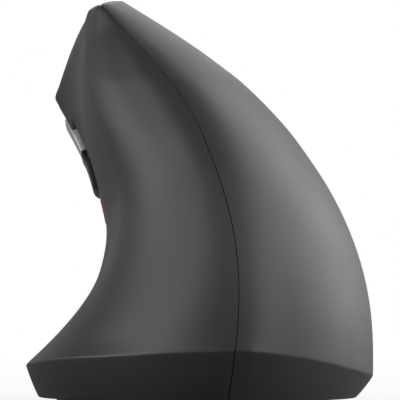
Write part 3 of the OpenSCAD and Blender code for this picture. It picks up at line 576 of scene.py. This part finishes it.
def solder_mask(name, code="#0d5a34"):
    """Circuit board: green solder mask, raised and paler over a grid of copper tracks."""
    material, tree, place = blank(name)
    tone = linear(code)
    grid = add(
        tree, "ShaderNodeTexBrick",
        {
            "Vector": place, "Scale": every(5 * MM), "Mortar Size": 0.03,
            "Color1": shade(tone, 1), "Color2": shade(tone, 0.8), "Mortar": shade(tone, 1.7),
        },
        offset=0.35,
    )
    relief = add(tree, "ShaderNodeBump", {"Height": grid.outputs["Fac"], "Distance": 0.02 * MM})
    shader = add(
        tree, "ShaderNodeBsdfPrincipled",
        {"Base Color": grid.outputs["Color"], "Roughness": 0.35, "Coat Weight": 0.2, "Normal": relief},
    )
    add(tree, "ShaderNodeOutputMaterial", {"Surface": shader})
    return material


def plated_steel(name, code, roughness=0.3):
    """Nickel or zinc plated steel: drawn lines, wider than real ones so that they show, and
    small changes of gloss."""
    material, tree, place = blank(name)
    tone = linear(code)
    drawn = add(
        tree, "ShaderNodeTexNoise",
        {"Vector": place, "Scale": every(0.3 * MM), "Detail": 4, "Roughness": 0.7},
    )
    cloud = add(tree, "ShaderNodeTexNoise", {"Vector": place, "Scale": every(4 * MM)})
    base = add(
        tree, "ShaderNodeMix", {"Factor": cloud, "A": shade(tone, 0.9), "B": shade(tone, 1.05)},
        data_type="RGBA",
    )
    gloss = add(
        tree, "ShaderNodeMapRange",
        {"Value": drawn, **MIDDLE, "To Min": roughness - 0.06, "To Max": roughness + 0.08},
    )
    relief = add(tree, "ShaderNodeBump", {"Height": drawn, "Distance": 0.003 * MM})
    shader = add(
        tree, "ShaderNodeBsdfPrincipled",
        {"Base Color": base, "Metallic": 1, "Roughness": gloss, "Normal": relief},
    )
    add(tree, "ShaderNodeOutputMaterial", {"Surface": shader})
    return material


def epoxy_package(name, code="#18191b"):
    """Moulded epoxy of chips and switches: matt, with a fine grain."""
    return moulded_abs(name, linear(code), 0.62, 0.12, 0.004)


def cell_jacket(name):
    """Shrink film round an alkaline cell: dark with a pale band by the button end."""
    material, tree, place = blank(name)
    low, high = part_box("battery_cell")
    along = add(tree, "ShaderNodeSeparateXYZ", {"Vector": place}).outputs["Y"]
    band = add(
        tree, "ShaderNodeMapRange",
        {"Value": along, "From Min": high.y - 14 * MM, "From Max": high.y - 13.8 * MM},
    )
    film = add(tree, "ShaderNodeTexNoise", {"Vector": place, "Scale": every(1.2 * MM), "Detail": 3})
    base = add(
        tree, "ShaderNodeMix",
        {"Factor": band, "A": shade(linear("#202a38"), 1), "B": shade(linear("#c9a45a"), 1)},
        data_type="RGBA",
    )
    gloss = add(tree, "ShaderNodeMapRange", {"Value": film, **MIDDLE, "To Min": 0.26, "To Max": 0.36})
    relief = add(tree, "ShaderNodeBump", {"Height": film, "Distance": 0.004 * MM})
    shader = add(
        tree, "ShaderNodeBsdfPrincipled",
        {
            "Base Color": base, "Metallic": 0.55, "Roughness": gloss, "Coat Weight": 0.5,
            "Coat Roughness": 0.08, "Normal": relief,
        },
    )
    add(tree, "ShaderNodeOutputMaterial", {"Surface": shader})
    return material


def clear_lens(name):
    """Moulded acrylic optics: water clear with a faint flow line."""
    material, tree, place = blank(name)
    flow = add(tree, "ShaderNodeTexNoise", {"Vector": place, "Scale": every(2 * MM)})
    gloss = add(tree, "ShaderNodeMapRange", {"Value": flow, **MIDDLE, "To Min": 0.03, "To Max": 0.08})
    relief = add(tree, "ShaderNodeBump", {"Height": flow, "Distance": 0.004 * MM})
    shader = add(
        tree, "ShaderNodeBsdfPrincipled",
        {
            "Base Color": shade(linear("#f9fcff"), 1), "Roughness": gloss, "IOR": 1.49,
            "Transmission Weight": 0.9, "Normal": relief,
        },
    )
    add(tree, "ShaderNodeOutputMaterial", {"Surface": shader})
    return material


# Pieces

# Edges that turn by more than this are rounded, also along the crease over the flange
SHARP_ANGLE = math.radians(32)
SKIRT_ANGLE = math.radians(11)
# Corners narrower than this are creased instead
NARROW_ANGLE = math.radians(30)
# The shading of a skin runs on over edges that turn by less than this
SMOOTH_ANGLE = math.radians(60)
# How far each shell's border goes towards its mate's, which leaves a third of the gap between the solids
SEAM_SHARE = 0.32
# Heights between which the crease over the flange runs round the shells, how far it is
# lifted, and how soon the lift grows as the skin turns towards the wrist
SKIRT_LOW = 3.6 * MM
SKIRT_HIGH = 10.4 * MM
CREASE_LIFT = 0.75 * MM
CREASE_TURN = 1.8
# The thumb buttons: the ways out of the scoop and up it, how directly the faces of their
# plates and lips look that way, how far a plate bows, and how far it stands out
THUMB_OUT = Vector((-0.92, 0, -0.39))
THUMB_UP = Vector((-0.47, 0.2, 0.86))
PLATE_FACING = 0.8
LIP_FACING = 0.6
PLATE_BOW = 2.2 * MM
PLATE_FOOT = 0.15 * MM
PLATE_THICK = 0.35 * MM
# Where the skins are fuller than their solids: place, way and reach in millimetres
TIP_PULLS = [
    ((-18.2, -11, 75.5), (-0.65, 0, 0.65), 6.5),
    ((-20.6, -4, 75.8), (-0.15, 0, 0.2), 4.5),
]
BROW_PULLS = [
    ((-22.2, 0, 72.8), (-0.3, 0, 0), 5),
    ((-28, 28, 58.2), (-0.4, 0, -0.1), 5),
    ((-27, 28, 54.6), (0.5, 0, 0), 4),
]
# The case screws: width of a head, and the cross recess in it
HEAD = 4.2 * MM
CROSS_LONG = 2.1 * MM
CROSS_WIDE = 0.462 * MM
CROSS_DEEP = 0.75 * MM


class MOUSE_OT_shells(bpy.types.Operator):
    """Thumb shell and palm shell with soft lacquer and rounded seams"""

    bl_idname = "mouse.shells"
    bl_label = "Shells"

    def execute(self, context):
        sizes, tones = settings()
        thumb = soft_touch_lacquer("soft_touch_thumb", tones.thumb_skin)
        palm = soft_touch_lacquer("soft_touch_palm", tones.palm_skin)
        edge = sizes.skin_edge
        skin_copy("thumb_shell", "thumb_shell_skin", thumb, edge, "palm_shell", TIP_PULLS + BROW_PULLS)
        skin_copy("palm_shell", "palm_shell_skin", palm, edge, "thumb_shell", TIP_PULLS)
        return {"FINISHED"}


class MOUSE_OT_keys(bpy.types.Operator):
    """Main keys and the glossy strip between them"""

    bl_idname = "mouse.keys"
    bl_label = "Main keys"

    def execute(self, context):
        sizes, tones = settings()
        key = soft_touch_lacquer("soft_touch_keys", tones.keys)
        skin_copy("index_key", "index_key_cap", key, sizes.skin_edge)
        skin_copy("middle_key", "middle_key_cap", key, sizes.skin_edge)
        strip = glossy_abs("polished_strip", tones.bezel)
        skin_copy("wheel_bezel", "wheel_bezel_strip", strip, sizes.part_edge)
        graphite = satin_lacquer("graphite_lacquer_small", tones.graphite, 0.3)
        part_copy("dpi_button", "dpi_button_cap", graphite)
        return {"FINISHED"}


class MOUSE_OT_thumb_side(bpy.types.Operator):
    """Forward and back buttons and the red light strip"""

    bl_idname = "mouse.thumb_side"
    bl_label = "Thumb side"

    def execute(self, context):
        sizes, tones = settings()
        silver = satin_lacquer("silver_lacquer", tones.silver, 0.3)
        graphite = satin_lacquer("graphite_lacquer", tones.graphite, 0.35)
        skin_copy("forward_button", "forward_button_cap", silver, sizes.button_edge, lip=2.6)
        skin_copy("back_button", "back_button_cap", graphite, sizes.button_edge, lip=1.6)
        red = clear_red_plastic("clear_red", tones.light)
        skin_copy("light_strip", "light_strip_lens", red, sizes.part_edge)
        return {"FINISHED"}


class MOUSE_OT_wheel(bpy.types.Operator):
    """Rubber tyre, hub and cradle of the scroll wheel"""

    bl_idname = "mouse.wheel"
    bl_label = "Scroll wheel"

    def execute(self, context):
        _, tones = settings()
        part_copy("wheel_tyre", "wheel_tyre_rubber", vulcanised_rubber("tyre_rubber", tones.tyre))
        grey = moulded_abs("grey_acetal", linear("#505358"), 0.45)
        for node in ("wheel_hub", "wheel_cradle"):
            paint(NODES[node], grey)
        paint(NODES["wheel_encoder"], moulded_abs("encoder_housing", linear("#2c4a38"), 0.5))
        paint(NODES["wheel_spring"], plated_steel("spring_wire", "#c3c6c9", 0.25))
        return {"FINISHED"}


class MOUSE_OT_underside(bpy.types.Operator):
    """Base plate, glide feet, battery door, receiver and power switch"""

    bl_idname = "mouse.underside"
    bl_label = "Underside"

    def execute(self, context):
        sizes, tones = settings()
        base = moulded_abs("spark_eroded_base", tones.base, 0.5, sizes.spark / MM, 0.008)
        pad = ptfe_pad("ptfe_pads", tones.glide)
        part_copy("base_plate", "base_plate_moulding", base)
        part_copy("battery_door", "battery_door_moulding", base, whole=False)
        for foot in ("foot_left", "foot_front", "foot_rear", "foot_right"):
            part_copy(foot, foot + "_pad", pad, 1.5 * sizes.part_edge)
        receiver = moulded_abs("receiver_abs", linear("#232427"), 0.4)
        part_copy("usb_receiver", "usb_receiver_body", receiver)
        knob = moulded_abs("white_acetal", linear("#c9cbcc"), 0.4)
        part_copy("power_slider", "power_slider_knob", knob)
        paint(NODES["power_switch"], plated_steel("tinned_switch", "#8d9194", 0.35))
        return {"FINISHED"}


class MOUSE_OT_battery(bpy.types.Operator):
    """Cell, contact spring and plates"""

    bl_idname = "mouse.battery"
    bl_label = "Battery"

    def execute(self, context):
        paint(NODES["battery_cell"], cell_jacket("cell_film"))
        nickel = plated_steel("nickel_contacts", "#c9cbc6", 0.22)
        paint(NODES["battery_spring"], nickel)
        paint(NODES["battery_plates"], nickel)
        return {"FINISHED"}


class MOUSE_OT_inside(bpy.types.Operator):
    """Boards, switches, sensor and the inner frame"""

    bl_idname = "mouse.inside"
    bl_label = "Inside"

    def execute(self, context):
        board = solder_mask("green_solder_mask")
        chip = epoxy_package("black_epoxy")
        white = moulded_abs("white_plunger", linear("#d9dcd6"), 0.4)
        for node in ("key_board", "main_board", "thumb_board"):
            paint(NODES[node], board)
        for node in ("index_switch", "middle_switch", "wheel_switch", "dpi_switch", "forward_switch",
                     "back_switch", "sensor_chip", "controller_chip"):
            paint(NODES[node], chip)
        for node in ("index_plunger", "middle_plunger"):
            paint(NODES[node], white)
        paint(NODES["sensor_lens"], clear_lens("acrylic_lens"))
        paint(NODES["status_led"], clear_lens("led_dome"))
        paint(NODES["core_frame"], moulded_abs("frame_nylon", linear("#2b2d30"), 0.55))
        return {"FINISHED"}


class MOUSE_OT_screws(bpy.types.Operator):
    """Case screws with a cross recess in each head, and board screws"""

    bl_idname = "mouse.screws"
    bl_label = "Screws"

    def execute(self, context):
        zinc = plated_steel("black_zinc_screws", "#6d6f72", 0.32)
        bright = plated_steel("zinc_screws", "#a9acaf", 0.28)
        paint(NODES["board_screws"], bright)
        piece = copy_of("case_screws", "case_screws_cross")
        low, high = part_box("case_screws")
        cutters = []
        for x in (low.x + HEAD / 2, high.x - HEAD / 2):
            for y in (low.y + HEAD / 2, high.y - HEAD / 2):
                for arm in ((CROSS_WIDE, CROSS_LONG), (CROSS_LONG, CROSS_WIDE)):
                    bpy.ops.object.select_all(action="DESELECT")
                    size = (*arm, 2 * CROSS_DEEP)
                    bpy.ops.mesh.primitive_cube_add(size=1, location=(x, y, low.z), scale=size)
                    bpy.ops.object.transform_apply(location=True, rotation=True, scale=True)
                    cutters.append(bpy.context.active_object)
        for cutter in cutters:
            apply_modifier(piece, "BOOLEAN", object=cutter, operation="DIFFERENCE", solver="EXACT")
            bpy.data.objects.remove(cutter)
        smooth_by(piece, math.radians(30))
        settle(piece, ["case_screws"], zinc)
        return {"FINISHED"}


# Stage

# The photograph: width of a pixel, pixels across, and where the middle and the ground lie in it
PIXEL = 0.1935 * MM
PICTURE = 400
AXIS = 199.35
GROUND = 400.5
# Ways of the camera and of the softboxes to the mouse, in metres, and the height the softboxes aim at
CAMERA_WAY = 2.0
LAMP_WAY = 0.8
LAMP_AIM = 38 * MM
# Light of the room, and how bright the table looks by the mouse and the backdrop in gloss
ROOM = 0.06
TABLE_LEVEL = 0.86
BACKDROP_GLOSS = 0.3


def lamp(name, turn, rise, size, power):
    """A softbox aimed at the mouse: turn degrees right of the camera, rise degrees above the table,
    size in metres and power in watts."""
    aim = Vector((0, 0, LAMP_AIM))
    turn, rise = math.radians(turn), math.radians(rise)
    way = Vector((math.sin(turn) * math.cos(rise), -math.cos(turn) * math.cos(rise), math.sin(rise)))
    bpy.ops.object.light_add(type="AREA", location=aim + LAMP_WAY * way)
    light = bpy.context.active_object
    light.name = name
    light.data.shape = "RECTANGLE"
    light.data.size, light.data.size_y = size
    light.data.energy = power
    light.rotation_euler = (-way).to_track_quat("-Z", "Y").to_euler()
    light.visible_camera = False


class MOUSE_OT_stage(bpy.types.Operator):
    """Table, soft lamps, pale backdrop and the camera behind the wrist end"""

    bl_idname = "mouse.stage"
    bl_label = "Stage"

    def execute(self, context):
        _, tones = settings()
        scene = context.scene
        bpy.ops.object.select_all(action="DESELECT")
        bpy.ops.mesh.primitive_plane_add(size=6, location=(0, 0, 0))
        floor = context.active_object
        floor.name = "table"
        material, tree, place = blank("pale_table")
        seen = add(tree, "ShaderNodeLightPath").outputs
        away = add(tree, "ShaderNodeVectorMath", {0: place}, operation="LENGTH")
        direct = add(
            tree, "ShaderNodeMath", {0: seen["Is Camera Ray"], 1: seen["Is Transmission Ray"]},
            operation="MAXIMUM",
        )
        pale = add(
            tree, "ShaderNodeMapRange",
            {"Value": away, "From Min": 0.12, "From Max": 0.5, "To Min": TABLE_LEVEL, "To Max": 1},
        )
        near = add(tree, "ShaderNodeMath", {0: direct, 1: pale}, operation="MULTIPLY")
        faint = add(
            tree, "ShaderNodeMapRange",
            {"Value": away, "From Min": 0.4, "From Max": 1, "To Min": 0, "To Max": BACKDROP_GLOSS},
        )
        far = add(tree, "ShaderNodeMath", {0: seen["Is Glossy Ray"], 1: faint}, operation="MULTIPLY")
        tone = add(
            tree, "ShaderNodeMix",
            {"Factor": seen["Is Camera Ray"], "A": shade(tones.bounce, 1), "B": shade(tones.floor, 1)},
            data_type="RGBA",
        )
        matt = add(tree, "ShaderNodeBsdfDiffuse", {"Color": tone})
        bright = add(tree, "ShaderNodeEmission", {"Color": [1, 1, 1, 1], "Strength": 1})
        share = add(tree, "ShaderNodeMath", {0: near, 1: far}, operation="MAXIMUM")
        mixed = add(tree, "ShaderNodeMixShader", {0: share, 1: matt, 2: bright})
        add(tree, "ShaderNodeOutputMaterial", {"Surface": mixed})
        paint(floor, material)

        world = bpy.data.worlds.new("studio")
        scene.world = world
        world.use_nodes = True
        tree = world.node_tree
        tree.nodes.clear()
        seen = add(tree, "ShaderNodeLightPath").outputs
        way = add(tree, "ShaderNodeTexCoord").outputs["Generated"]
        behind = add(tree, "ShaderNodeSeparateXYZ", {"Vector": way}).outputs["Y"]
        direct = add(
            tree, "ShaderNodeMath", {0: seen["Is Camera Ray"], 1: seen["Is Transmission Ray"]},
            operation="MAXIMUM",
        )
        faint = add(
            tree, "ShaderNodeMapRange",
            {"Value": behind, "From Min": 0.6, "From Max": 0.85, "To Min": 0, "To Max": BACKDROP_GLOSS},
        )
        backdrop = add(tree, "ShaderNodeMath", {0: seen["Is Glossy Ray"], 1: faint}, operation="MULTIPLY")
        bright = add(tree, "ShaderNodeMath", {0: direct, 1: backdrop}, operation="MAXIMUM")
        level = add(tree, "ShaderNodeMath", {0: bright, 1: ROOM}, operation="MAXIMUM")
        sky = add(tree, "ShaderNodeBackground", {"Color": [1, 1, 1, 1], "Strength": level})
        add(tree, "ShaderNodeOutputWorld", {"Surface": sky})

        lamp("right_softbox", 63, 24, (0.7, 0.92), 4.8)
        lamp("rear_right_softbox", 124, 24, (0.85, 0.92), 5.1)
        lamp("left_softbox", -92, 8, (0.7, 0.5), 2.7)
        lamp("high_left_softbox", -66, 38, (0.5, 0.5), 1.8)
        lamp("low_left_softbox", -40, 10, (0.5, 0.5), 0.4)
        lamp("front_softbox", 0, 40, (0.36, 0.36), 0.6)
        lamp("rear_softbox", 180, 25, (0.36, 0.36), 0.5)

        bpy.ops.object.camera_add(
            location=((PICTURE / 2 - AXIS) * PIXEL, -CAMERA_WAY, (GROUND - PICTURE / 2) * PIXEL),
            rotation=(math.radians(90), 0, 0),
        )
        camera = context.active_object
        camera.data.sensor_width = 36
        camera.data.lens = camera.data.sensor_width * CAMERA_WAY / (PICTURE * PIXEL)
        camera.data.clip_end = 20
        scene.camera = camera
        scene.view_settings.view_transform = "Standard"
        return {"FINISHED"}


OPERATORS = [
    MOUSE_OT_shells, MOUSE_OT_keys, MOUSE_OT_thumb_side, MOUSE_OT_wheel, MOUSE_OT_underside,
    MOUSE_OT_battery, MOUSE_OT_inside, MOUSE_OT_screws, MOUSE_OT_stage,
]


class MOUSE_PT_panel(bpy.types.Panel):
    """Sizes, colours and pieces of the mouse"""

    bl_label = "Vertical mouse"
    bl_idname = "MOUSE_PT_panel"
    bl_space_type = "VIEW_3D"
    bl_region_type = "UI"
    bl_category = "Mouse"

    def draw(self, context):
        for group in settings():
            box = self.layout.box()
            for name in group.__annotations__:
                box.prop(group, name)
        for operator in OPERATORS:
            self.layout.operator(operator.bl_idname)


CLASSES = [MouseSizes, MouseColours, *OPERATORS, MOUSE_PT_panel]


def register():
    for item in CLASSES:
        bpy.utils.register_class(item)
    bpy.types.Scene.mouse_sizes = PointerProperty(type=MouseSizes)
    bpy.types.Scene.mouse_colours = PointerProperty(type=MouseColours)


def unregister():
    del bpy.types.Scene.mouse_colours
    del bpy.types.Scene.mouse_sizes
    for item in reversed(CLASSES):
        bpy.utils.unregister_class(item)


def main():
    register()
    for operator in OPERATORS:
        group, name = operator.bl_idname.split(".")
        getattr(getattr(bpy.ops, group), name)()


if __name__ == "__main__":
    main()
